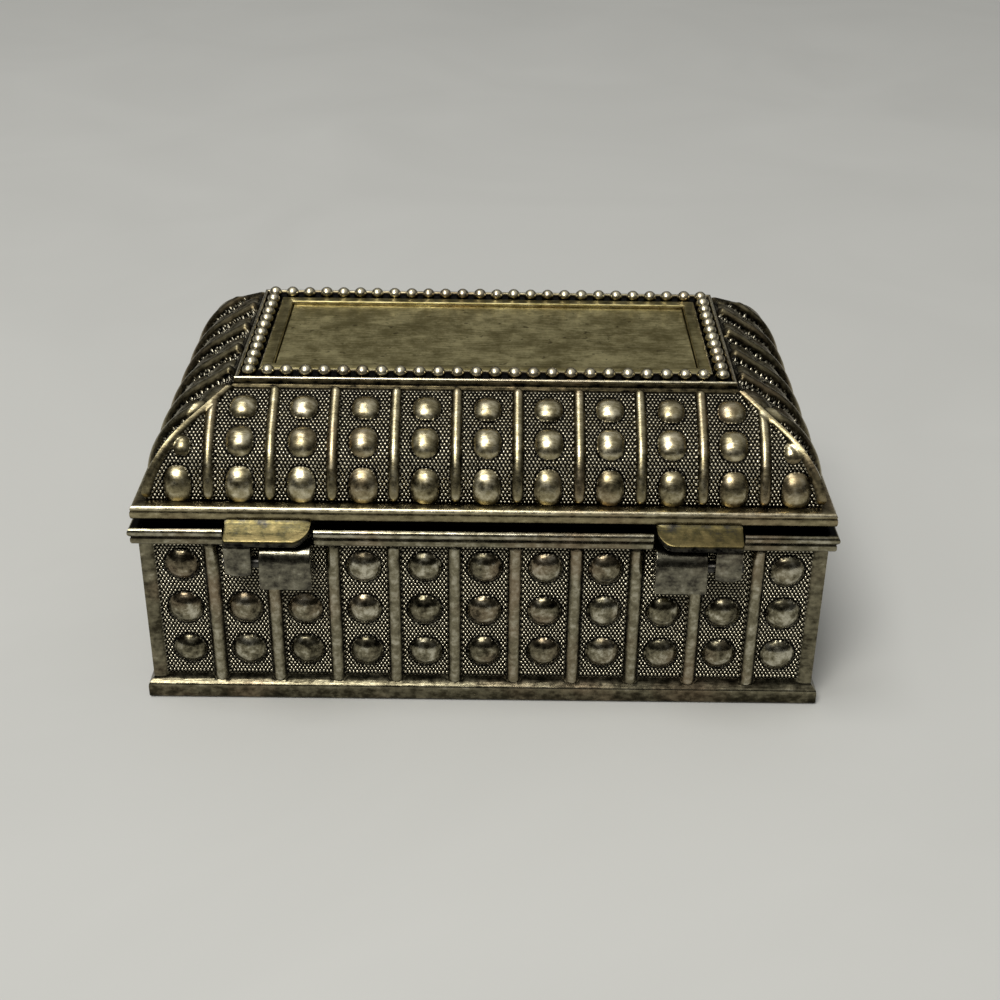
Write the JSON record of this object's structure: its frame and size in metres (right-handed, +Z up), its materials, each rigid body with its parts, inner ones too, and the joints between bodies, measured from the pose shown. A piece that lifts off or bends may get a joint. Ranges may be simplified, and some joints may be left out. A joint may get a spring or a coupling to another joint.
{
  "type": "rosary box",
  "caption": "Small cast metal keepsake box with a hinged hipped lid, raised bosses, ribs and beads, a plain plate on top and a velvet lining.",
  "frame": {"origin": "middle of the base's underside, on the surface the box stands on, under the middle of the lid's rim", "axes": "+X along the box's width, to the right when looking at the hinge side; +Y towards the front, away from the hinges; +Z up"},
  "size_m": [0.101, 0.0651, 0.048],
  "materials": {
    "base_metal": "antiqued silver plate, dark patina in the recesses",
    "lid_metal": "antiqued silver plate, brushed on the high parts",
    "plate_metal": "satin antiqued plate",
    "pin_metal": "dull",
    "felt": "felt",
    "card": "grey card",
    "velvet": "velvet pile"
  },
  "bodies": {
    "base": {"base_casting": "base_metal", "left_hinge_pin": "pin_metal", "right_hinge_pin": "pin_metal", "base_felt": "felt", "floor_board": "card", "floor_cushion": "velvet", "front_lining": "velvet", "rear_lining": "velvet", "left_lining": "velvet", "right_lining": "velvet"},
    "lid": {"lid_casting": "lid_metal", "engraving_plate": "plate_metal", "lid_lining": "velvet", "lid_board": "card", "lid_cushion": "velvet"}
  },
  "joints": [
    {"name": "lid_hinge", "type": "hinge", "parent": "base", "child": "lid", "pos_m": [0, -0.03185, 0.0247], "axis": [1, 0, 0], "range_deg": [0, 120]}
  ]
}
